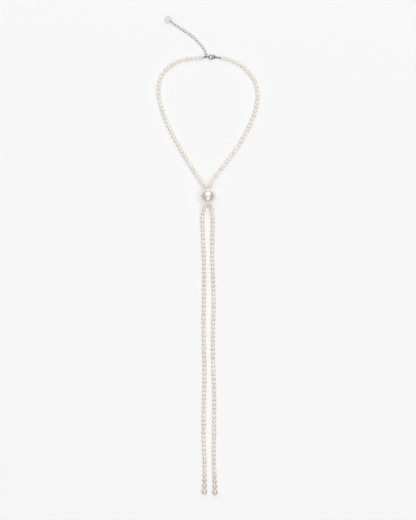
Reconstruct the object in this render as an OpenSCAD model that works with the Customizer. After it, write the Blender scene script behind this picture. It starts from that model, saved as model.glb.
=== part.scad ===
// Lariat necklace. Two strings of small pearls leave a lobster clasp, run side by side
// through one large pearl and hang on as two long tails that end in graduated pearls.
// A short curb chain with a plain round tag lengthens the neck.
// The necklace lies flat. The origin is on the surface, right under the large pearl.
// +Y runs from the large pearl to the clasp, -Y down the tails, +Z is up.

/* [Small pearls] */
// Length of a small pearl, along its thread
pearl_l = 4.08; // [3.7:0.02:4.2]
// Width of a small pearl, across its thread
pearl_w = 4.4; // [4.1:0.05:4.6]
// Clear space between two pearls of a string
pearl_gap = 0.12; // [0.12:0.01:0.3]
// Bore of a small pearl
pearl_bore = 0.8; // [0.7:0.05:1]
// Thickness of the thread that a string is strung on
thread_d = 0.4; // [0.3:0.02:0.5]

/* [Tails] */
// Length of the left tail, from the middle of the large pearl to its graduated pearls
tail_l = 276.3; // [220:0.1:320]
// How much longer the right tail is
tail_lag = 1.3; // [0:0.1:10]

/* [Large pearl] */
// Diameter of the large pearl that both strings run through
slider_d = 16; // [14:0.5:18]
// Bore of the large pearl
slider_bore = 3; // [2.6:0.1:3.6]
// Clear space between the two threads inside the large pearl
thread_space = 0.5; // [0.3:0.05:0.8]

/* [Graduated pearls] */
// Diameter of the first and smallest graduated pearl of a tail
drop_1_d = 4.7; // [4.3:0.1:5]
// Diameter of the second graduated pearl
drop_2_d = 4.9; // [4.5:0.1:5.4]
// Diameter of the third graduated pearl
drop_3_d = 5.2; // [4.8:0.1:5.8]
// Diameter of the end pearl of a tail
end_d = 6.1; // [5.6:0.1:7]
// Extra diameter of each left graduated pearl, which the right ones lack
drop_spread = 0.1; // [0:0.05:0.2]
// Bore of the graduated and end pearls
drop_bore = 1; // [0.8:0.05:1.2]
// Width of the thread's knot below an end pearl
knot_d = 1.3; // [1.1:0.1:1.7]
// Length of that knot
knot_l = 0.9; // [0.8:0.1:1.4]

/* [Crimp ends] */
// Diameter of the barrel that grips a thread
crimp_d = 2; // [1.6:0.1:2.4]
// Length of the barrel
crimp_l = 2.8; // [2:0.1:3]
// Bore of the barrel
crimp_bore = 0.7; // [0.6:0.05:0.9]
// Inner diameter of the barrel's eye
crimp_eye_d = 1.4; // [1.3:0.05:1.5]
// Wire of that eye
crimp_wire = 0.5; // [0.4:0.05:0.55]

/* [Catch ring] */
// Outer diameter of the ring that the clasp hooks into
catch_d = 4.6; // [4.4:0.1:5]
// Wire of that ring
catch_wire = 0.8; // [0.7:0.05:0.85]

/* [Lobster clasp] */
// Length of the clasp over its hook and its eye
clasp_l = 8.9; // [8.5:0.1:9.5]
// Width of the hook
clasp_w = 5.4; // [5:0.1:5.8]
// Greatest thickness of the body
clasp_t = 2.3; // [2.1:0.1:2.6]
// Hole of the clasp's own eye
clasp_eye_d = 0.9; // [0.85:0.05:1]
// Wire of the clasp's own eye
clasp_wire = 0.7; // [0.6:0.05:0.75]
// Rivet that the lever turns on
rivet_d = 0.6; // [0.5:0.05:0.7]
// Thickness of the lever
lever_t = 0.8; // [0.6:0.05:0.9]
// Running clearance round the lever and its rivet
lever_play = 0.12; // [0.1:0.01:0.16]

/* [Extender chain] */
// Number of curb links
link_count = 15; // [12:1:15]
// Length of a link over its wire
link_l = 4.9; // [4.7:0.05:5.2]
// Width of a link over its wire, before it is twisted
link_w = 3.1; // [3:0.05:3.3]
// Wire of a link
link_wire = 0.7; // [0.6:0.02:0.72]
// Twist of a link from end to end, in degrees
link_twist = 90; // [80:2:100]
// Play between two links
link_play = 0.18; // [0.15:0.01:0.25]

/* [Tag] */
// Diameter of the round tag
tag_d = 7.4; // [6.8:0.1:8.2]
// Thickness of the tag
tag_t = 0.7; // [0.5:0.1:0.9]
// Hole of the tag
tag_hole_d = 1.2; // [1.1:0.05:1.4]
// Outer diameter of the ring that joins the tag to the chain
tag_ring_d = 4.4; // [4.2:0.1:4.8]
// Wire of that ring
tag_wire = 0.6; // [0.5:0.05:0.62]

/* [Hidden] */
// Chosen points of each string and of the chain, as [x, y, height above lying flat].
// The strings run outwards from the large pearl. The first three points of a tail are its
// bends, and the last one is where its graduated pearls begin. Between them a tail is
// stretched to its length.
neck_left_route = [
    [-6.6, 14, 2.4], [-9.3, 18, 1.3], [-13.3, 24, 0.5], [-21, 35.8, 0.1], [-28.3, 47.8, 0.02],
    [-34.6, 59.8, 0], [-40.4, 71.8, 0], [-45.3, 83.8, 0], [-48.6, 95.8, 0], [-49.7, 104.8, 0],
    [-48.6, 113.8, 0], [-45.2, 122.2, 0], [-39.6, 128.6, 0], [-32, 133.6, 0],
    [-22.6, 136.7, 0], [-12, 138, 0]
];
neck_right_route = [
    [3.4, 14, 2.4], [6.1, 18, 1.4], [10.2, 23.4, 0.6], [19.9, 35.8, 0.1], [28.7, 47.8, 0.02],
    [36, 59.8, 0], [42.1, 71.8, 0], [46.8, 83.6, 0], [49.3, 95.8, 0], [48.9, 107.4, 0],
    [45.5, 116.8, 0], [39.9, 124.6, 0], [33, 130.8, 0], [24.4, 135.4, 0], [17, 137.4, 0]
];
tail_left_route = [
    [-4.7, -14.4, 2.3], [-5.5, -18.4, 1.3], [-5.7, -24.2, 0.5], [-5.1, -40, 0.05], [-3.9, -72, 0],
    [-4.1, -104, 0], [-4.4, -134, 0], [-3.5, -176, 0], [-4.2, -208, 0], [-4.4, -240, 0],
    [-3.6, -264, 0], [-3.6, -276.3, 0]
];
tail_right_route = [
    [3.5, -14.4, 2.2], [4.3, -18.4, 1.3], [4.7, -24.2, 0.5], [4.2, -48, 0.05], [4.3, -68, 0],
    [5.6, -104, 0], [4.9, -136, 0], [5.1, -168, 0], [6.1, -196, 0], [6, -232, 0],
    [5.7, -262, 0], [6.3, -277.6, 0]
];
// Lean of the row of graduated pearls to the right
drops_left_lean = 0;
drops_right_lean = 2;
chain_route = [
    [-2.5, 143.6, 0.25], [-4.3, 147.3, 0.04], [-6.8, 150.8, 0], [-9.6, 153.9, 0],
    [-15.1, 159.2, 0], [-21.7, 163.9, 0], [-28.3, 168.3, 0.05], [-33.1, 171.6, 0.5],
    [-37, 174.3, 1.3]
];

// Clearance kept between metal pieces that hook into each other
metal_gap = 0.15;

// Large pearl and the four pearls that lie against it
slider_z = slider_d / 2;
thread_offset = (thread_space + thread_d) / 2;
pearl_pitch = pearl_l + pearl_gap;
pair_pitch = pearl_w + pearl_gap;
bore_mouth_y = sqrt(pow(slider_d / 2, 2) - pow(slider_bore / 2, 2));
upper_shift = -0.6;
lower_shift = -0.1;
pair_sink = 1.6;
// Extra space after each of those four, where the string bends most
bend_space = 0.14;

// Catch ring
catch_r = (catch_d - catch_wire) / 2;
catch_c = [0, 139.3, catch_d / 2];

// Lobster clasp, placed by the middle of its hook
clasp_yaw = -4;
hook_w = 0.98;
hook_shift = 0.65;
clasp_eye_r = (clasp_eye_d + clasp_wire) / 2;
clasp_reach = clasp_l - hook_w / 2 - clasp_eye_r - clasp_wire / 2;
clasp_c = catch_c + [hook_shift, 0, 0];
// The ring holds the hook up, and the eye lies low, just clear of the surface
low_clearance = 0.05;
right_eye_z = crimp_eye_d / 2 + crimp_wire + low_clearance;
clasp_tilt = asin((clasp_c.z - right_eye_z - low_clearance) / clasp_reach);
clasp_eye_c = clasp_c + clasp_reach * [
    cos(clasp_tilt) * cos(clasp_yaw), cos(clasp_tilt) * sin(clasp_yaw), -sin(clasp_tilt)
];
// Hook and body as rows along the middle of the metal, in shares: [x of the reach,
// y of the width, width of metal of the width, thickness of the thickness]
hook_rows = [
    [0.91, 0, 0.34, 0.62],
    [0.83, 0.01, 0.48, 0.88],
    [0.72, -0.02, 0.6, 1],
    [0.6, -0.1, 0.56, 1],
    [0.49, -0.24, 0.38, 0.86],
    [0.37, -0.36, 0.27, 0.7],
    [0.23, -0.38, 0.23, 0.6],
    [0.1, -0.28, 0.215, 0.54],
    [0.015, -0.11, 0.213, 0.52],
    [0, 0.07, 0.21, 0.52],
    [0.05, 0.24, 0.2, 0.5],
    [0.14, 0.35, 0.18, 0.46],
    [0.24, 0.38, 0.15, 0.42],
    [0.315, 0.375, 0.13, 0.36]
];
hook_end = hook_rows[len(hook_rows) - 1];
pivot = [0.716 * clasp_reach, 0.1 * clasp_w];
slot_floor_y = -0.11 * clasp_w;
// Length of the rivet, as a share of the body's thickness
rivet_reach = 0.86;
lever_boss_r = 0.16 * clasp_w;
slot_end_x = pivot.x + lever_boss_r + 2 * lever_play;
arm_root = 0.85 * lever_boss_r;
tab_root = 0.6 * lever_boss_r;
lever_lap = 0.28;
lever_tip = [hook_end[0] * clasp_reach + lever_lap, hook_end[1] * clasp_w];
lever_tip_w = 0.6;
tab_tip = [0.775 * clasp_reach, 0.41 * clasp_w];
tab_w = 0.8;

// Crimp ends: the left eye hangs on the catch ring, the right one in the clasp's eye
crimp_eye_r = (crimp_eye_d + crimp_wire) / 2;
barrel_from = crimp_eye_r - crimp_wire / 4;
crimp_reach = barrel_from + crimp_l;
crimp_grip = 0.5 * crimp_l;
left_eye_rise = 0.4;
left_crimp_c = catch_c + [-catch_r, 0, left_eye_rise];
left_crimp_turn = [0, 8, 194];
right_eye_hold = clasp_eye_r + metal_gap;
right_crimp_c = [
    clasp_eye_c.x + right_eye_hold * cos(clasp_yaw),
    clasp_eye_c.y + right_eye_hold * sin(clasp_yaw),
    right_eye_z
];
right_crimp_turn = [0, -12, -6];

// Curb chain
link_a = (link_l - link_wire) / 2;
link_b = (link_w - link_wire) / 2;
link_fullness = 0.85;
link_pitch = link_l - 2 * link_wire - link_play;
// A twisted link lies lower than its half width
link_rise = 0.38;
link_z = link_wire / 2 + link_rise * link_b;
// From a link's middle to the wire of the ring in its end
link_hold = link_a - (link_wire + catch_wire) / 2 - metal_gap;
catch_angle = 208;
// The last links roll a little where they rise to the tag's ring
last_roll = -16;

// Tag and its ring
tag_ring_r = (tag_ring_d - tag_wire) / 2;
tag_dip = 14;
tag_rim = 0.6;
tag_hole_at = tag_d / 2 - tag_hole_d / 2 - tag_rim;

// Smoothness
fine = 48;
pearl_steps = 14;
route_steps = 8;
thread_sides = 6;
link_segments = 16;
link_sides = 6;
hook_sides = 12;
hook_steps = 2;

function link_name(k) = str("extender_link_", k < 10 ? "0" : "", k);

function unit(v) = v / norm(v);
function last(list) = list[len(list) - 1];
function reversed(list) = [for (i = [len(list) - 1 : -1 : 0]) list[i]];
// Direction of +X after a turn as rotate() makes it
function facing(turn) = [
    cos(turn[1]) * cos(turn[2]), cos(turn[1]) * sin(turn[2]), -sin(turn[1])
];

// Point at t between b and c on the smooth curve through a, b, c and d
function curve_point(a, b, c, d, t) =
    (2 * b + (c - a) * t + (2 * a - 5 * b + 4 * c - d) * t * t
        + (3 * b - a - 3 * c + d) * t * t * t) / 2;
// Smooth curve through rows of numbers
function smooth(rows, steps) = [
    for (i = [0 : len(rows) - 2], j = [0 : steps - 1])
        curve_point(rows[max(i - 1, 0)], rows[i], rows[i + 1],
                    rows[min(i + 2, len(rows) - 1)], j / steps),
    last(rows)
];
// Distance run at each point
function distances(points) = [
    for (i = 0, s = 0; i < len(points);
         s = s + (i + 1 < len(points) ? norm(points[i + 1] - points[i]) : 0), i = i + 1) s
];
// A path is a table of [distance, place] for x, y and z, then its length
function make_path(points) =
    let (s = distances(points))
    [
        for (axis = [0 : 2]) [for (i = [0 : len(points) - 1]) [s[i], points[i][axis]]],
        last(s)
    ];
function on_path(path, s) = [for (axis = [0 : 2]) lookup(s, path[axis])];
function raised(route, z) = [for (p = route) [p.x, p.y, p.z + z]];

function tail_route(side) =
    let (route = side < 0 ? tail_left_route : tail_right_route,
         l = side < 0 ? tail_l : tail_l + tail_lag,
         bends_end = route[2].y,
         more = (l + bends_end) / (bends_end - last(route).y) - 1)
    [for (p = route) [p.x, p.y + more * min(p.y - bends_end, 0), p.z]];

// Middle of the pearl that lies against the large pearl, up the neck or down the tails
function pair_pearl(side, end) =
    let (x = side * pair_pitch / 2 + (end > 0 ? upper_shift : lower_shift),
         reach = (slider_d + pearl_w) / 2 + pearl_gap)
    [x, end * sqrt(reach * reach - x * x - pair_sink * pair_sink), slider_z - pair_sink];
// Where a thread leaves the large pearl's bore
function bore_mouth(side, end) = [side * thread_offset, end * bore_mouth_y, slider_z];
// The points just before and after that first pearl, whose bore shares out the bend between
// the large pearl's bore and the next point of the string
function pair_points(side, end, next) =
    let (c = pair_pearl(side, end),
         way = unit(unit(bore_mouth(side, end) - c) + unit(c - next)))
    [c + way * pearl_pitch / 2, c - way * (pearl_pitch / 2 + bend_space)];

// Points between the pearls of a string, from the large pearl to its far end
function string_points(side, end, route, far) =
    let (lying = raised(route, pearl_w / 2),
         near = pair_points(side, end, lying[0]),
         path = make_path(smooth(concat([near[1]], lying, [far]), route_steps)),
         count = floor(path[3] / pearl_pitch))
    concat([near[0]], [for (k = [0 : count]) on_path(path, path[3] * k / count)]);

// Graduated pearls of a tail
function drop_sizes(side) =
    let (extra = side < 0 ? drop_spread : -drop_spread)
    [drop_1_d + extra, drop_2_d + extra, drop_3_d + extra, end_d];
function drop_start(side) = let (p = last(tail_route(side))) [p.x, p.y];
function drop_way(side) =
    let (lean = side < 0 ? drops_left_lean : drops_right_lean)
    [sin(lean), -cos(lean), 0];
// Distance down the row to the space before pearl k
function drop_run(sizes, k) = k == 0 ? 0 : drop_run(sizes, k - 1) + sizes[k - 1] + pearl_gap;
function drop_c(side, k) =
    let (sizes = drop_sizes(side), start = drop_start(side))
    [start.x, start.y, sizes[k] / 2]
        + drop_way(side) * (drop_run(sizes, k) + (sizes[k] + pearl_gap) / 2);
// Point in the space before pearl k, and after the end pearl
function drop_point(side, k) =
    let (sizes = drop_sizes(side), start = drop_start(side),
         before = k == 0 ? pearl_w : sizes[k - 1],
         after = k == len(sizes) ? sizes[k - 1] : sizes[k])
    [start.x, start.y, (before + after) / 4] + drop_way(side) * drop_run(sizes, k);

// Crimp places
function crimp_mouth(side) =
    side < 0 ? left_crimp_c + crimp_reach * facing(left_crimp_turn)
             : right_crimp_c + crimp_reach * facing(right_crimp_turn);
function crimp_way(side) = facing(side < 0 ? left_crimp_turn : right_crimp_turn);

function neck_points(side) =
    string_points(side, 1, side < 0 ? neck_left_route : neck_right_route,
                  crimp_mouth(side) + pearl_gap * crimp_way(side));
function tail_points(side) =
    let (route = tail_route(side))
    string_points(side, -1, [for (i = [0 : len(route) - 2]) route[i]], drop_point(side, 0));

// Ring of points round p, square to the way t, with half width w and half height h
function ring_points(p, t, side, w, h, sides) =
    let (up = cross(side, t))
    [for (j = [0 : sides - 1])
        p + w * cos(360 * j / sides) * side + h * sin(360 * j / sides) * up];
function way_at(points, i) =
    let (n = len(points),
         before = i == 0 ? points[1] - points[0] : points[i] - points[i - 1],
         after = i == n - 1 ? before : points[i + 1] - points[i])
    unit(unit(before) + unit(after));

// Skin over rings of points, closed on itself or with a flat cap at each end
module skin(rings, closed) {
    sides = len(rings[0]);
    count = len(rings);
    walls = [
        for (i = [0 : closed ? count - 1 : count - 2], j = [0 : sides - 1])
            let (k = (i + 1) % count, m = (j + 1) % sides)
            each [[i * sides + j, i * sides + m, k * sides + m],
                  [i * sides + j, k * sides + m, k * sides + j]]
    ];
    caps = [
        [for (j = [sides - 1 : -1 : 0]) j],
        [for (j = [0 : sides - 1]) (count - 1) * sides + j]
    ];
    polyhedron(points = [for (ring = rings) each ring],
               faces = closed ? walls : concat(walls, caps), convexity = 10);
}

// Puts a piece with its bore along +Z at c, with the bore along a way
module strung(c, way) {
    translate(c)
        rotate([0, acos(way.z / norm(way)), atan2(way.y, way.x)])
            children();
}

// Round pearl with its middle at c, drilled along a way
module pearl(d, bore, c, way) {
    strung(c, way)
        difference() {
            sphere(d = d, $fn = fine);
            cylinder(d = bore, h = d + 1, center = true, $fn = fine);
        }
}

// Small pearl: a little wider than it is long
module small_pearl(c, way) {
    rim = asin(pearl_bore / pearl_w);
    strung(c, way)
        rotate_extrude($fn = fine)
            polygon([
                for (i = [0 : pearl_steps])
                    let (a = rim + (180 - 2 * rim) * i / pearl_steps)
                    [pearl_w / 2 * sin(a), -pearl_l / 2 * cos(a)]
            ]);
}

module pearl_string(points) {
    color("#eadfd3")
        for (k = [0 : len(points) - 2])
            small_pearl((points[k] + points[k + 1]) / 2, points[k + 1] - points[k]);
}

module neck_pearls_left() { pearl_string(neck_points(-1)); }
module neck_pearls_right() { pearl_string(neck_points(1)); }
module tail_pearls_left() { pearl_string(tail_points(-1)); }
module tail_pearls_right() { pearl_string(tail_points(1)); }

module slider_pearl() {
    color("#e6dccb")
        pearl(slider_d, slider_bore, [0, 0, slider_z], [0, 1, 0]);
}

module drop_pearl(side, k) {
    color("#e8ddcf")
        pearl(drop_sizes(side)[k], drop_bore, drop_c(side, k),
              drop_point(side, k + 1) - drop_point(side, k));
}

// One thread from inside its crimp, through all its pearls, to the knot
module thread(side) {
    tail_end = drop_point(side, 4);
    way = drop_way(side);
    run = concat(
        [crimp_mouth(side) - crimp_grip * crimp_way(side)],
        reversed(neck_points(side)),
        [bore_mouth(side, 1), bore_mouth(side, -1)],
        tail_points(side),
        [for (k = [1 : 4]) drop_point(side, k)]
    );
    // The knot as [share of its length, share of its width]
    knot = [[0.12, 0.8], [0.4, 1], [0.7, 0.9], [0.92, 0.5]];
    points = concat(run, [for (row = knot) tail_end + row[0] * knot_l * way]);
    widths = concat([for (p = run) thread_d], [for (row = knot) row[1] * knot_d]);
    color("#d9d2c8")
        skin([
            for (i = [0 : len(points) - 1])
                let (t = way_at(points, i))
                ring_points(points[i], t, unit(cross(t, [0, 0, 1])), widths[i] / 2,
                            widths[i] / 2, thread_sides)
        ], false);
}

module thread_left() { thread(-1); }
module thread_right() { thread(1); }

// Crimp end with the middle of its eye at the origin and its barrel along +X
module crimp(upright) {
    lip = 0.12 * crimp_d;
    rotate([upright ? 90 : 0, 0, 0])
        rotate_extrude($fn = fine)
            translate([crimp_eye_r, 0])
                circle(d = crimp_wire, $fn = fine);
    rotate([0, 90, 0])
        rotate_extrude($fn = fine)
            polygon([
                [0, barrel_from], [crimp_d / 2 - 2 * lip, barrel_from],
                [crimp_d / 2, barrel_from + 2 * lip], [crimp_d / 2, crimp_reach - lip],
                [crimp_d / 2 - lip, crimp_reach], [crimp_bore / 2, crimp_reach],
                [crimp_bore / 2, crimp_reach - crimp_grip - metal_gap],
                [0, crimp_reach - crimp_grip - metal_gap]
            ]);
}

module crimp_left() {
    color("#b9b5b2")
        translate(left_crimp_c)
            rotate(left_crimp_turn)
                crimp(false);
}

module crimp_right() {
    color("#b9b5b2")
        translate(right_crimp_c)
            rotate(right_crimp_turn)
                crimp(true);
}

module wire_ring(ring_r, wire) {
    rotate([90, 0, 0])
        rotate_extrude($fn = fine)
            translate([ring_r, 0])
                circle(d = wire, $fn = fine);
}

module catch_ring() {
    color("#a9a9a9")
        translate(catch_c)
            wire_ring(catch_r, catch_wire);
}

// Puts the clasp's own frame, +X from hook to eye, where the clasp lies
module at_clasp() {
    translate(clasp_c)
        rotate([0, clasp_tilt, clasp_yaw])
            children();
}

module hook() {
    rows = smooth([
        for (row = hook_rows)
            [row[0] * clasp_reach, row[1] * clasp_w, row[2] * clasp_w, row[3] * clasp_t]
    ], hook_steps);
    places = [for (row = rows) [row[0], row[1], 0]];
    skin([
        for (i = [0 : len(rows) - 1])
            let (t = way_at(places, i))
            ring_points(places[i], t, cross(t, [0, 0, 1]), rows[i][2] / 2, rows[i][3] / 2,
                        hook_sides)
    ], false);
}

module clasp_body() {
    slot_t = lever_t + 2 * lever_play;
    color("#a6a6a6")
        at_clasp() {
            difference() {
                hook();
                translate([hook_end[0] * clasp_reach, slot_floor_y, -slot_t / 2])
                    cube([slot_end_x - hook_end[0] * clasp_reach, clasp_w, slot_t]);
            }
            translate([pivot.x, pivot.y, 0])
                cylinder(d = rivet_d, h = rivet_reach * clasp_t, center = true, $fn = fine);
            translate([clasp_reach, 0, 0])
                rotate_extrude($fn = fine)
                    translate([clasp_eye_r, 0])
                        circle(d = clasp_wire, $fn = fine);
        }
}

// Flat plate through an outline, in the middle of the lever's slot
module lever_plate(outline) {
    translate([0, 0, -lever_t / 2])
        linear_extrude(height = lever_t)
            polygon(outline);
}

module lever_disc(place, r, h) {
    translate([place.x, place.y, 0])
        cylinder(r = r, h = h, center = true, $fn = fine);
}

// Lever in the clasp's frame, closed against the end of the hook
module clasp_lever() {
    arm = unit(lever_tip - pivot);
    arm_side = [-arm.y, arm.x];
    tab = unit(tab_tip - pivot);
    tab_side = [-tab.y, tab.x];
    color("#b4b4b4")
        at_clasp()
            difference() {
                union() {
                    lever_disc(pivot, lever_boss_r, lever_t);
                    lever_disc(tab_tip, tab_w / 2, lever_t);
                    lever_plate([
                        pivot - arm_root * arm_side,
                        lever_tip - lever_tip_w / 2 * arm_side,
                        lever_tip + lever_tip_w / 2 * arm_side,
                        pivot + arm_root * arm_side
                    ]);
                    lever_plate([
                        pivot - tab_root * tab_side, tab_tip - tab_w / 3 * tab_side,
                        tab_tip + tab_w / 3 * tab_side, pivot + tab_root * tab_side
                    ]);
                }
                lever_disc(pivot, rivet_d / 2 + lever_play, 2 * lever_t);
            }
}

// Path of the chain, from the wire of the catch ring on
catch_hold = catch_c + catch_r * [cos(catch_angle), 0, sin(catch_angle)];
chain_path = make_path(smooth(concat([catch_hold], raised(chain_route, link_z)),
                              route_steps));
function link_at(k) = on_path(chain_path, link_hold + (k - 1) * link_pitch);
function link_way(k) =
    let (s = link_hold + (k - 1) * link_pitch)
    unit(on_path(chain_path, s + link_pitch / 2) - on_path(chain_path, s - link_pitch / 2));

// Curb link with its length along X: an oval that twists from end to end
module link() {
    places = [
        for (i = [0 : link_segments - 1])
            let (a = 360 * (i + 0.5) / link_segments,
                 out = link_b * sign(sin(a)) * pow(abs(sin(a)), link_fullness),
                 twist = link_twist / 2 * cos(a))
            [link_a * cos(a), out * cos(twist), out * sin(twist)]
    ];
    skin([
        for (i = [0 : link_segments - 1])
            let (p = places[i],
                 t = unit(places[(i + 1) % link_segments]
                          - places[(i + link_segments - 1) % link_segments]),
                 side = unit(p - (p * t) * t))
            ring_points(p, t, side, link_wire / 2, link_wire / 2, link_sides)
    ], true);
}

module extender_link(k) {
    way = link_way(k);
    color("#c2c2c2")
        translate(link_at(k))
            rotate([last_roll * max(0, 1 - (link_count - k) / 2), -asin(way.z),
                    atan2(way.y, way.x)])
                link();
}

// Ring and tag follow on from the last link
tag_yaw = atan2(link_way(link_count).y, link_way(link_count).x);
tag_flat_way = [cos(tag_yaw), sin(tag_yaw), 0];
tag_ring_z = tag_ring_d / 2;
last_link_end = link_at(link_count) + link_a * link_way(link_count);
tag_hold = tag_ring_r - (link_wire + tag_wire) / 2 - metal_gap;
tag_ring_c = [last_link_end.x, last_link_end.y, tag_ring_z]
    + sqrt(pow(tag_hold, 2) - pow(tag_ring_z - last_link_end.z, 2)) * tag_flat_way;
tag_hole_c = tag_ring_c
    + tag_ring_r * (cos(tag_dip) * tag_flat_way - [0, 0, sin(tag_dip)]);
tag_lean = asin((tag_hole_c.z - tag_t / 2) / (tag_hole_at + tag_d / 2));

module tag_ring() {
    color("#9c9c9c")
        translate(tag_ring_c)
            rotate([0, 0, tag_yaw])
                wire_ring(tag_ring_r, tag_wire);
}

module tag_disc() {
    edge = 0.2 * tag_t;
    color("#d8d8d8")
        translate(tag_hole_c)
            rotate([0, tag_lean, tag_yaw])
                difference() {
                    translate([tag_hole_at, 0, 0])
                        rotate_extrude($fn = fine)
                            polygon([
                                [0, -tag_t / 2], [tag_d / 2 - edge, -tag_t / 2],
                                [tag_d / 2, -tag_t / 2 + edge], [tag_d / 2, tag_t / 2 - edge],
                                [tag_d / 2 - edge, tag_t / 2], [0, tag_t / 2]
                            ]);
                    cylinder(d = tag_hole_d, h = 2 * tag_t, center = true, $fn = fine);
                }
}

neck_pearls_left();
neck_pearls_right();
slider_pearl();
tail_pearls_left();
tail_pearls_right();
drop_pearl(-1, 0);  // drop_pearl_left_1
drop_pearl(-1, 1);  // drop_pearl_left_2
drop_pearl(-1, 2);  // drop_pearl_left_3
drop_pearl(1, 0);  // drop_pearl_right_1
drop_pearl(1, 1);  // drop_pearl_right_2
drop_pearl(1, 2);  // drop_pearl_right_3
drop_pearl(-1, 3);  // end_pearl_left
drop_pearl(1, 3);  // end_pearl_right
thread_left();
thread_right();
crimp_left();
crimp_right();
catch_ring();
clasp_body();
clasp_lever();
tag_ring();
tag_disc();
for (k = [1 : link_count])
    extender_link(k);
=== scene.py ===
import math
import random

import bmesh
import bpy
from mathutils import Matrix, Vector


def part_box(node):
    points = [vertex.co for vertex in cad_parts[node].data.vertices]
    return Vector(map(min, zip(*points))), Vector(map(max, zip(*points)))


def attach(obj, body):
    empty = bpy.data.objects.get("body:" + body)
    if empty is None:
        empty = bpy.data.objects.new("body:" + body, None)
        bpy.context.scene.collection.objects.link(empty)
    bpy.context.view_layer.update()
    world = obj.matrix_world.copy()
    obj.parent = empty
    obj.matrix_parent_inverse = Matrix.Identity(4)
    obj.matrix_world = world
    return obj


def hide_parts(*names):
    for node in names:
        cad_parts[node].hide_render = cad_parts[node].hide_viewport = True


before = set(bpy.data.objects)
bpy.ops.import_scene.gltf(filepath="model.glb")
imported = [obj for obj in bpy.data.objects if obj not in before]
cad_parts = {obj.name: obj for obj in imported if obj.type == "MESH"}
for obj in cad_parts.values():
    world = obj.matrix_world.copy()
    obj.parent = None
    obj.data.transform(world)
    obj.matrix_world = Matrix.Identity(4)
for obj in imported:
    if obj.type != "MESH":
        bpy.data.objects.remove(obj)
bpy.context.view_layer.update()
mm = 0.001
weld = 0.001 * mm
print("frame loaded")


# Colours and nodes

def linearColour(hexText):
    parts = [int(hexText[i:i + 2], 16) / 255 for i in (1, 3, 5)]
    return [p / 12.92 if p <= 0.04045 else ((p + 0.055) / 1.055) ** 2.4 for p in parts] + [1]


def addNode(tree, kind, settings=None, links=None):
    # Settings go to a property or to an unlinked socket, links go to sockets. By number, Map Range
    # takes 0 value, 1 and 2 from, 3 and 4 to, and a colour Mix takes 0 factor, 6 and 7 colours.
    node = tree.nodes.new(kind)
    for key, value in (settings or {}).items():
        if isinstance(key, str) and hasattr(node, key):
            setattr(node, key, value)
        else:
            node.inputs[key].default_value = value
    for key, socket in (links or {}).items():
        tree.links.new(socket, node.inputs[key])
    return node


def newMaterial(name):
    material = bpy.data.materials.new(name)
    material.use_nodes = True
    material.node_tree.nodes.clear()
    return material


def finishMaterial(material, surface):
    addNode(material.node_tree, "ShaderNodeOutputMaterial", links={"Surface": surface})
    return material


# Pearl: layered nacre, tumbled smooth. The eye gets a soft cream body with faint pink clouds, a
# satin glow from under the surface and a clear gloss on top. Round the bore the colour is painted
# paler, a painted light that lifts the shade in the crease between neighbouring pearls, and the
# mirror and coat fade there: paintedGapFrom is where that starts, 0 at mid length and 1 at the rim.
nacre = {
    "ior": 1.6, "under": 0.1, "underMm": 0.5, "underTint": (1, 0.75, 0.6),
    "cloudFrom": 0.45, "cloudTo": 0.75, "cloudMost": 0.45, "bump": 0.08, "bumpMm": 0.05,
    "mirrorGone": 0.7
}
# near the bore the colour is painted paler: painted light that lifts the shade between neighbouring
# pearls
neckPearlLook = dict(
    nacre, creamLight="#fcf5ed", creamDeep="#eee1d5", blush="#efd9cc", paintedGapLight="#fdf7f0",
    paintedGapFrom=0.4, gloss=0.36, coatGloss=0.3, mirror=0.16, coat=0.5, cloudMm=1.1
)
# the tails' pearls are polished brighter, so their flanks mirror more of the dark round them
tailPearlLook = dict(neckPearlLook, gloss=0.25, coatGloss=0.16, mirror=0.38, coat=0.45)
# the graduated pearls have darker rims and a whiter shine; their colour near the bore is painted
# light too
dropPearlLook = dict(
    nacre, creamLight="#f2e9df", creamDeep="#ece0d4", blush="#e9d5ca", paintedGapLight="#f2e9df",
    paintedGapFrom=0.85, gloss=0.2, coatGloss=0.08, mirror=0.42, coat=0.25, cloudMm=1.6
)


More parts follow.
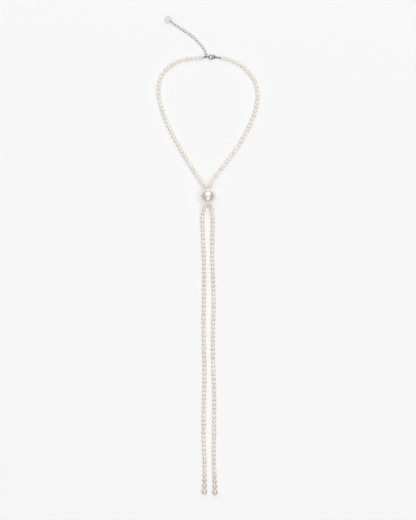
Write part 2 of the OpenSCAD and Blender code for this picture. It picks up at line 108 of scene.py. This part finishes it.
def makePearlMaterial(name, look):
    material = newMaterial(name)
    tree = material.node_tree
    place = addNode(tree, "ShaderNodeTexCoord")
    tint = addNode(tree, "ShaderNodeAttribute", {"attribute_name": "tint"})
    cream = addNode(tree, "ShaderNodeMix", {
        "data_type": "RGBA", 6: linearColour(look["creamLight"]), 7: linearColour(look["creamDeep"])
    }, {0: tint.outputs["Fac"]})
    # growth clouds, about a quarter of a pearl across
    clouds = addNode(tree, "ShaderNodeTexNoise", {
        "Scale": 1 / (look["cloudMm"] * mm), "Detail": 2, "Roughness": 0.5
    }, {"Vector": place.outputs["Object"]})
    share = addNode(tree, "ShaderNodeMapRange", {
        1: look["cloudFrom"], 2: look["cloudTo"], 3: 0, 4: look["cloudMost"]
    }, {0: clouds.outputs["Fac"]})
    colour = addNode(tree, "ShaderNodeMix", {
        "data_type": "RGBA", 7: linearColour(look["blush"])
    }, {0: share.outputs[0], 6: cream.outputs[2]})
    bump = addNode(tree, "ShaderNodeBump", {
        "Strength": look["bump"], "Distance": look["bumpMm"] * mm
    }, {"Height": clouds.outputs["Fac"]})
    along = addNode(tree, "ShaderNodeAttribute", {"attribute_name": "along"})
    nearBore = addNode(tree, "ShaderNodeMapRange", {1: look["paintedGapFrom"], 2: 1, 3: 0, 4: 1},
                   {0: along.outputs["Fac"]})
    # painted light: the colour turns paler towards the bore, lifting the shade between neighbouring
    # pearls
    paintedLift = addNode(tree, "ShaderNodeMix", {"data_type": "RGBA", 7: linearColour(look["paintedGapLight"])},
                   {0: nearBore.outputs[0], 6: colour.outputs[2]})
    mirror = addNode(tree, "ShaderNodeMapRange", {
        1: 0, 2: look["mirrorGone"], 3: look["mirror"], 4: 0
    }, {0: nearBore.outputs[0]})
    coat = addNode(tree, "ShaderNodeMapRange", {1: 0, 2: 1, 3: look["coat"], 4: 0},
                   {0: nearBore.outputs[0]})
    shader = addNode(tree, "ShaderNodeBsdfPrincipled", {
        "Roughness": look["gloss"], "IOR": look["ior"], "Subsurface Weight": look["under"],
        "Subsurface Radius": look["underTint"], "Subsurface Scale": look["underMm"] * mm,
        "Coat Roughness": look["coatGloss"], "Coat IOR": look["ior"]
    }, {"Base Color": paintedLift.outputs[2], "Normal": bump.outputs[0], "Metallic": mirror.outputs[0],
        "Coat Weight": coat.outputs[0]})
    return finishMaterial(material, shader.outputs[0])


# Large pearl: thick nacre, polished. The eye gets mirror-like highlights, and green, rose and
# tan overtones that lie as wide patches round the crown.
largePearlLook = {
    "body": "#fdf6e8", "gloss": 0.12, "coatGloss": 0.04, "mirror": 0.3, "ior": 1.65,
    "under": 0.08, "underMm": 0.8, "underTint": (1, 0.75, 0.6),
    "crownFrom": 0.7, "crownTo": 0.82, "driftMm": 6, "driftByMm": 3, "overtoneMost": 0.9,
    # colour, way from the centre, and the cosine at which the patch ends
    "overtones": [
        ("#dcedc6", (-0.5, 0.34, 0.8), 0.84), ("#f4d4d9", (-0.46, -0.36, 0.8), 0.86),
        ("#ead0d3", (0.6, 0.12, 0.8), 0.84), ("#f0cfb8", (0.38, -0.46, 0.8), 0.86)
    ]
}


def makeLargePearlMaterial(look, centre):
    material = newMaterial("nacrePolishedPearl")
    tree = material.node_tree
    place = addNode(tree, "ShaderNodeTexCoord")
    fromCentre = addNode(tree, "ShaderNodeVectorMath", {"operation": "SUBTRACT", 1: centre},
                         {0: place.outputs["Object"]})
    # the patches' edges wander with a wide noise, whose colours lie round 0.5
    drift = addNode(tree, "ShaderNodeTexNoise", {
        "Scale": 1 / (look["driftMm"] * mm), "Detail": 2
    }, {"Vector": place.outputs["Object"]})
    driftMiddle = addNode(tree, "ShaderNodeVectorMath", {
        "operation": "SUBTRACT", 1: (0.5, 0.5, 0.5)
    }, {0: drift.outputs["Color"]})
    driftWay = addNode(tree, "ShaderNodeVectorMath", {
        "operation": "SCALE", "Scale": look["driftByMm"] * mm
    }, {0: driftMiddle.outputs[0]})
    moved = addNode(tree, "ShaderNodeVectorMath", {"operation": "ADD"},
                    {0: fromCentre.outputs[0], 1: driftWay.outputs[0]})
    way = addNode(tree, "ShaderNodeVectorMath", {"operation": "NORMALIZE"}, {0: moved.outputs[0]})
    colour = addNode(tree, "ShaderNodeRGB")
    colour.outputs[0].default_value = linearColour(look["body"])
    socket = colour.outputs[0]
    height = addNode(tree, "ShaderNodeSeparateXYZ", links={0: way.outputs[0]})
    crown = addNode(tree, "ShaderNodeMapRange", {
        "interpolation_type": "SMOOTHSTEP", 1: look["crownFrom"], 2: look["crownTo"], 3: 0, 4: 1
    }, {0: height.outputs["Z"]})
    for hexText, direction, reach in look["overtones"]:
        near = addNode(tree, "ShaderNodeVectorMath", {"operation": "DOT_PRODUCT", 1: direction},
                       {0: way.outputs[0]})
        share = addNode(tree, "ShaderNodeMapRange", {
            "interpolation_type": "SMOOTHSTEP", 1: reach, 2: 1, 3: 0, 4: look["overtoneMost"]
        }, {0: near.outputs["Value"]})
        onCrown = addNode(tree, "ShaderNodeMath", {"operation": "MULTIPLY"},
                          {0: share.outputs[0], 1: crown.outputs[0]})
        mix = addNode(tree, "ShaderNodeMix", {"data_type": "RGBA", 7: linearColour(hexText)},
                      {0: onCrown.outputs[0], 6: socket})
        socket = mix.outputs[2]
    shader = addNode(tree, "ShaderNodeBsdfPrincipled", {
        "Roughness": look["gloss"], "IOR": look["ior"], "Metallic": look["mirror"],
        "Subsurface Weight": look["under"], "Subsurface Radius": look["underTint"],
        "Subsurface Scale": look["underMm"] * mm,
        "Coat Weight": 1, "Coat Roughness": look["coatGloss"], "Coat IOR": look["ior"]
    }, {"Base Color": socket})
    return finishMaterial(material, shader.outputs[0])


# Rhodium-plated brass, cast and tumbled bright. The eye gets a hard cool shine, with faint
# handling marks that soften it here and there. The chain is plated paler, the tag is matter.
metal = {"marksMm": 0.5, "marksFrom": 0.35, "marksTo": 0.75, "bump": 0.05, "bumpMm": 0.02}
metalLook = dict(metal, colour="#a2a2a4", gloss=0.1, worn=0.22)
chainLook = dict(metal, colour="#d8d8d9", gloss=0.2, worn=0.32)
tagLook = dict(metal, colour="#c6c6c7", gloss=0.34, worn=0.45, marksMm=0.7)


def makeMetalMaterial(name, look):
    material = newMaterial(name)
    tree = material.node_tree
    place = addNode(tree, "ShaderNodeTexCoord")
    marks = addNode(tree, "ShaderNodeTexNoise", {
        "Scale": 1 / (look["marksMm"] * mm), "Detail": 3, "Roughness": 0.6
    }, {"Vector": place.outputs["Object"]})
    gloss = addNode(tree, "ShaderNodeMapRange", {
        1: look["marksFrom"], 2: look["marksTo"], 3: look["gloss"], 4: look["worn"]
    }, {0: marks.outputs["Fac"]})
    bump = addNode(tree, "ShaderNodeBump", {
        "Strength": look["bump"], "Distance": look["bumpMm"] * mm
    }, {"Height": marks.outputs["Fac"]})
    shader = addNode(tree, "ShaderNodeBsdfPrincipled", {
        "Base Color": linearColour(look["colour"]), "Metallic": 1
    }, {"Roughness": gloss.outputs[0], "Normal": bump.outputs[0]})
    return finishMaterial(material, shader.outputs[0])


# Silk beading thread, twisted. The eye gets a matt pale line with slanted strands.
threadLook = {
    "light": "#f6f1e8", "dark": "#e4dbce", "strandMm": 0.35, "slant": (0.5, 0.4, 0.6), "waver": 0.6,
    "gloss": 0.75, "sheen": 0.3, "ior": 1.54, "bump": 0.5, "bumpMm": 0.05
}


def makeThreadMaterial(look):
    material = newMaterial("silkTwistedThread")
    tree = material.node_tree
    place = addNode(tree, "ShaderNodeTexCoord")
    turned = addNode(tree, "ShaderNodeMapping", {"Rotation": look["slant"]},
                     {"Vector": place.outputs["Object"]})
    # at scale 1 the wave repeats about every third of a unit
    strands = addNode(tree, "ShaderNodeTexWave", {
        "Scale": 1 / (3 * look["strandMm"] * mm), "Distortion": look["waver"]
    }, {"Vector": turned.outputs[0]})
    colour = addNode(tree, "ShaderNodeMix", {
        "data_type": "RGBA", 6: linearColour(look["dark"]), 7: linearColour(look["light"])
    }, {0: strands.outputs["Fac"]})
    bump = addNode(tree, "ShaderNodeBump", {
        "Strength": look["bump"], "Distance": look["bumpMm"] * mm
    }, {"Height": strands.outputs["Fac"]})
    shader = addNode(tree, "ShaderNodeBsdfPrincipled", {
        "Roughness": look["gloss"], "IOR": look["ior"], "Sheen Weight": look["sheen"]
    }, {"Base Color": colour.outputs[2], "Normal": bump.outputs[0]})
    return finishMaterial(material, shader.outputs[0])


def newPiece(name, bm, material, node, body="necklace"):
    mesh = bpy.data.meshes.new(name)
    bm.to_mesh(mesh)
    bm.free()
    mesh.materials.append(material)
    piece = bpy.data.objects.new(name, mesh)
    bpy.context.scene.collection.objects.link(piece)
    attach(piece, body)
    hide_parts(node)
    return piece


# Loose solids of a frame node, each as its middle

def solidMiddles(name):
    bm = bmesh.new()
    bm.from_mesh(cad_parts[name].data)
    bmesh.ops.remove_doubles(bm, verts=bm.verts, dist=weld)
    seen = set()
    middles = []
    for first in bm.faces:
        if first in seen:
            continue
        seen.add(first)
        group = [first]
        for face in group:
            for edge in face.edges:
                for other in edge.link_faces:
                    if other not in seen:
                        seen.add(other)
                        group.append(other)
        areas = [face.calc_area() for face in group]
        weighed = (face.calc_center_median() * area for face, area in zip(group, areas))
        middles.append(sum(weighed, Vector()) / sum(areas))
    bm.free()
    return middles


def rowWays(middles):
    # each pearl's bore points from one neighbour to the other
    ways = []
    for middle in middles:
        near = sorted((other for other in middles if other is not middle),
                      key=lambda other: (other - middle).length)[:2]
        bothSides = len(near) == 2 and (near[0] - middle).dot(near[1] - middle) < 0
        ways.append(((near[1] if bothSides else middle) - near[0]).normalized())
    return ways


# Pearl with its bore along Z: a half round profile, spun. The profile's last edge closes it along
# the bore.

def addPearl(bm, wide, long, bore, segments, bands):
    start = math.asin(bore / wide)
    angles = [start + (math.pi - 2 * start) * i / bands for i in range(bands + 1)]
    ring = [bm.verts.new((wide / 2 * math.sin(a), 0, long / 2 * math.cos(a))) for a in angles]
    edges = [bm.edges.new((ring[i - 1], ring[i])) for i in range(len(ring))]
    bmesh.ops.spin(bm, geom=ring + edges, cent=(0, 0, 0), axis=(0, 0, 1), angle=2 * math.pi,
                   steps=segments, use_merge=True, use_duplicate=False)


crispRimDeg = 60


def pearlTemplate(wide, long, bore, segments, bands):
    bm = bmesh.new()
    addPearl(bm, wide, long, bore, segments, bands)
    bmesh.ops.remove_doubles(bm, verts=bm.verts, dist=weld)
    bmesh.ops.recalc_face_normals(bm, faces=bm.faces)
    for face in bm.faces:
        face.smooth = True
    for edge in bm.edges:
        edge.smooth = edge.calc_face_angle(0) < math.radians(crispRimDeg)
    mesh = bpy.data.meshes.new("pearlTemplate")
    bm.to_mesh(mesh)
    bm.free()
    return mesh


def pearlRow(template, middles, ways, seed, flattest, shades=(0, 1)):
    # tint is a pearl's shade, along is the share of the way from its mid length to the bore's rim
    rng = random.Random(seed)
    bm = bmesh.new()
    tint = bm.verts.layers.float.new("tint")
    along = bm.verts.layers.float.new("along")
    for middle, way in zip(middles, ways):
        first = len(bm.verts)
        bm.from_mesh(template)
        bm.verts.ensure_lookup_table()
        verts = bm.verts[first:]
        turn = way.to_track_quat("Z", "Y").to_matrix().to_4x4()
        roll = Matrix.Rotation(rng.uniform(0, 2 * math.pi), 4, "Z")
        flat = Matrix.Diagonal((1, 1, rng.uniform(flattest, 1), 1))
        bmesh.ops.transform(bm, matrix=Matrix.Translation(middle) @ turn @ roll @ flat, verts=verts)
        shade = rng.uniform(*shades)
        far = max((vert.co - middle).dot(way) for vert in verts)
        for vert in verts:
            vert[tint] = shade
            vert[along] = abs((vert.co - middle).dot(way)) / far
    return bm


# Small pearls on strings. They differ a little in width, down to flattest.

stringPearl = {
    "wide": 4.4 * mm, "long": 4.08 * mm, "bore": 0.8 * mm, "segments": 12, "bands": 7,
    "flattest": 0.98, "neckShades": (0, 0.5), "tailShades": (0.2, 1)
}
neckPearlMaterial = makePearlMaterial("nacreTumbledPearl", neckPearlLook)
tailPearlMaterial = makePearlMaterial("nacreTailPearl", tailPearlLook)
template = pearlTemplate(stringPearl["wide"], stringPearl["long"], stringPearl["bore"],
                         stringPearl["segments"], stringPearl["bands"])
stringKinds = {
    "neck": (neckPearlMaterial, stringPearl["neckShades"]),
    "tail": (tailPearlMaterial, stringPearl["tailShades"])
}
strings = [(part, side) for part in stringKinds for side in ("left", "right")]
for seed, (part, side) in enumerate(strings):
    material, shades = stringKinds[part]
    name = "%s_pearls_%s" % (part, side)
    middles = solidMiddles(name)
    bm = pearlRow(template, middles, rowWays(middles), seed, stringPearl["flattest"], shades)
    newPiece(name + "_look", bm, material, name)
    print(name, len(middles), "pearls")


# Graduated pearls and end pearls, finer than the small ones

dropPearl = {"bore": 1 * mm, "segments": 32, "bands": 18, "firstSeed": 10}
dropPearlMaterial = makePearlMaterial("nacreGraduatedPearl", dropPearlLook)

for seed, side in enumerate(("left", "right"), dropPearl["firstSeed"]):
    names = ["drop_pearl_%s_%d" % (side, k) for k in (1, 2, 3)] + ["end_pearl_" + side]
    middles = [solidMiddles(name)[0] for name in names]
    ways = rowWays(middles)
    for name, middle, way in zip(names, middles, ways):
        low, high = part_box(name)
        across = high[0] - low[0]
        shape = pearlTemplate(across, across, dropPearl["bore"], dropPearl["segments"],
                              dropPearl["bands"])
        bm = pearlRow(shape, [middle], [way], seed, 1)
        newPiece(name + "_look", bm, dropPearlMaterial, name)
print("graduated pearls done")


# Large pearl

largePearl = {"bore": 3 * mm, "segments": 64, "bands": 40, "boreWay": Vector((0, 1, 0)), "seed": 5}

low, high = (Vector(corner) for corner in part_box("slider_pearl"))
middle = (low + high) / 2
across = high.z - low.z
shape = pearlTemplate(across, across, largePearl["bore"], largePearl["segments"],
                      largePearl["bands"])
bm = pearlRow(shape, [middle], [largePearl["boreWay"]], largePearl["seed"], 1)
newPiece("slider_pearl_look", bm, makeLargePearlMaterial(largePearlLook, middle), "slider_pearl")
print("large pearl done")


# Round wire from a faceted frame node: its triangles are joined to faces and smoothed. It grows
# first, because smoothing thins it.

linkShape = {"count": 15, "grow": 0.04 * mm, "joinDeg": 40, "squareDeg": 60, "levels": 1}


def roundedCopy(name, shape, material):
    bm = bmesh.new()
    bm.from_mesh(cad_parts[name].data)
    bmesh.ops.remove_doubles(bm, verts=bm.verts, dist=weld)
    bmesh.ops.join_triangles(bm, faces=bm.faces,
                             angle_face_threshold=math.radians(shape["joinDeg"]),
                             angle_shape_threshold=math.radians(shape["squareDeg"]))
    bm.normal_update()
    moves = [(vert, vert.normal * shape["grow"]) for vert in bm.verts]
    for vert, move in moves:
        vert.co += move
    for face in bm.faces:
        face.smooth = True
    piece = newPiece(name + "_look", bm, material, name)
    smoothing = piece.modifiers.new("smoothing", "SUBSURF")
    smoothing.levels = smoothing.render_levels = shape["levels"]


metalMaterial = makeMetalMaterial("rhodiumPlatedBrass", metalLook)
chainMaterial = makeMetalMaterial("silverPlatedChain", chainLook)
for k in range(1, linkShape["count"] + 1):
    roundedCopy("extender_link_%02d" % k, linkShape, chainMaterial)
print("chain done")


# Cast metal from a frame node: flat parts are joined, outer edges are rounded off

castShape = {
    "flatDeg": 2, "sharpDeg": 50, "segments": 2, "profile": 0.5,
    "claspRounding": 0.08 * mm, "leverRounding": 0.1 * mm, "tagRounding": 0.12 * mm
}


def softenedCopy(name, shape, rounding, material, body):
    sharpAngle = math.radians(shape["sharpDeg"])
    bm = bmesh.new()
    bm.from_mesh(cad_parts[name].data)
    bmesh.ops.remove_doubles(bm, verts=bm.verts, dist=weld)
    bmesh.ops.dissolve_limit(bm, angle_limit=math.radians(shape["flatDeg"]), verts=bm.verts,
                             edges=bm.edges)
    sharp = [edge for edge in bm.edges if edge.is_convex and edge.calc_face_angle(0) > sharpAngle]
    bmesh.ops.bevel(bm, geom=sharp, offset=rounding, offset_type="OFFSET",
                    segments=shape["segments"], profile=shape["profile"], affect="EDGES",
                    clamp_overlap=True, material=-1)
    for face in bm.faces:
        face.smooth = True
    for edge in bm.edges:
        edge.smooth = edge.calc_face_angle(0) < sharpAngle
    piece = newPiece(name + "_look", bm, material, name, body)
    evening = piece.modifiers.new("evening", "WEIGHTED_NORMAL")
    evening.keep_sharp = True


tagMaterial = makeMetalMaterial("rhodiumPlatedTag", tagLook)
softenedCopy("clasp_body", castShape, castShape["claspRounding"], metalMaterial, "necklace")
softenedCopy("clasp_lever", castShape, castShape["leverRounding"], metalMaterial, "clasp_lever")
softenedCopy("tag_disc", castShape, castShape["tagRounding"], tagMaterial, "necklace")
print("clasp and tag done")


# Frame nodes that are kept as they are get their material only

threadMaterial = makeThreadMaterial(threadLook)
for name in ("thread_left", "thread_right"):
    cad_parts[name].data.materials[0] = threadMaterial
for name in ("crimp_left", "crimp_right", "catch_ring", "tag_ring"):
    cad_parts[name].data.materials[0] = metalMaterial
print("frame nodes dressed")


# Floor: opal acrylic over a soft lamp, with the faintest tooth. The eye gets a pale even sheet
# with light shadows.
floorLook = {
    "colour": "#a8a8a8", "glow": 0.562, "gloss": 0.9, "coat": 1, "coatGloss": 0.15, "ior": 1.6,
    "toothMm": 2, "bump": 0.02, "bumpMm": 0.02
}


def makeFloorMaterial(look):
    material = newMaterial("opalAcrylicSheet")
    tree = material.node_tree
    place = addNode(tree, "ShaderNodeTexCoord")
    tooth = addNode(tree, "ShaderNodeTexNoise", {
        "Scale": 1 / (look["toothMm"] * mm), "Detail": 2
    }, {"Vector": place.outputs["Object"]})
    bump = addNode(tree, "ShaderNodeBump", {
        "Strength": look["bump"], "Distance": look["bumpMm"] * mm
    }, {"Height": tooth.outputs["Fac"]})
    shader = addNode(tree, "ShaderNodeBsdfPrincipled", {
        "Base Color": linearColour(look["colour"]), "Roughness": look["gloss"],
        "Emission Color": (1, 1, 1, 1), "Emission Strength": look["glow"],
        "Coat Weight": look["coat"], "Coat Roughness": look["coatGloss"], "Coat IOR": look["ior"]
    }, {"Normal": bump.outputs[0]})
    return finishMaterial(material, shader.outputs[0])


# it lies a hair under the ground of the frame
floorShape = {"half": 6, "z": -0.02 * mm}
bm = bmesh.new()
bmesh.ops.create_grid(bm, x_segments=1, y_segments=1, size=floorShape["half"],
                      matrix=Matrix.Translation((0, 0, floorShape["z"])))
mesh = bpy.data.meshes.new("floor")
bm.to_mesh(mesh)
bm.free()
mesh.materials.append(makeFloorMaterial(floorLook))
floor = bpy.data.objects.new("floor", mesh)
bpy.context.scene.collection.objects.link(floor)


# Lights. Tilt and turn give the way from the large pearl to the light, in degrees. Only the two
# softboxes show in the pearls.

lights = [
    {"name": "mainSoftbox", "tilt": 33, "turn": 93, "far": 5, "width": 6.2, "height": 4.1,
     "watts": 128, "glossy": True},
    {"name": "smallSoftbox", "tilt": 34, "turn": -90, "far": 5, "width": 2.7, "height": 2.6,
     "watts": 44, "glossy": True},
    {"name": "rightKey", "tilt": 25, "turn": 0, "far": 5, "width": 1, "height": 1,
     "watts": 60, "glossy": False},
    {"name": "leftFill", "tilt": 60, "turn": 180, "far": 5, "width": 3, "height": 3,
     "watts": 8, "glossy": False}
]
for entry in lights:
    data = bpy.data.lights.new(entry["name"], "AREA")
    data.shape = "RECTANGLE"
    data.size, data.size_y = entry["width"], entry["height"]
    data.energy = entry["watts"]
    lamp = bpy.data.objects.new(entry["name"], data)
    tilt, turn = math.radians(entry["tilt"]), math.radians(entry["turn"])
    way = Vector((math.sin(tilt) * math.cos(turn), math.sin(tilt) * math.sin(turn),
                  math.cos(tilt)))
    lamp.location = way * entry["far"]
    lamp.rotation_euler = way.to_track_quat("Z", "Y").to_euler()
    lamp.visible_camera = False
    lamp.visible_glossy = entry["glossy"]
    bpy.context.scene.collection.objects.link(lamp)

# a dome that is dim at the horizon, lighter overhead and towards the two softboxes
dome = {"low": 0.05, "high": 0.3, "ends": 0.4}
world = bpy.data.worlds.new("studio")
world.use_nodes = True
tree = world.node_tree
skyWay = addNode(tree, "ShaderNodeTexCoord")
skyAxes = addNode(tree, "ShaderNodeSeparateXYZ", links={0: skyWay.outputs["Generated"]})
skyHigh = addNode(tree, "ShaderNodeMapRange", {1: 0, 2: 1, 3: dome["low"], 4: dome["high"]},
                  {0: skyAxes.outputs["Z"]})
skyEnds = addNode(tree, "ShaderNodeMath", {"operation": "MULTIPLY"},
                  {0: skyAxes.outputs["Y"], 1: skyAxes.outputs["Y"]})
skyLight = addNode(tree, "ShaderNodeMath", {"operation": "MULTIPLY_ADD", 1: dome["ends"]},
                   {0: skyEnds.outputs[0], 2: skyHigh.outputs[0]})
tree.nodes["Background"].inputs[0].default_value = (1, 1, 1, 1)
tree.links.new(skyLight.outputs[0], tree.nodes["Background"].inputs[1])
bpy.context.scene.world = world
bpy.context.scene.view_settings.view_transform = "Standard"


# Camera: the photo is taken from straight above, 416 by 520 mm, one pixel a millimetre

shot = {
    "x": -0.1 * mm, "y": -63.7 * mm, "height": 2.6, "tall": 520 * mm, "sensor": 36,
    "nearest": 0.1, "farthest": 20
}
camera = bpy.data.objects.new("camera", bpy.data.cameras.new("camera"))
camera.location = (shot["x"], shot["y"], shot["height"])
camera.data.sensor_width = shot["sensor"]
camera.data.lens = shot["sensor"] * shot["height"] / shot["tall"]
camera.data.clip_start, camera.data.clip_end = shot["nearest"], shot["farthest"]
bpy.context.scene.collection.objects.link(camera)
bpy.context.scene.camera = camera
print("studio done")
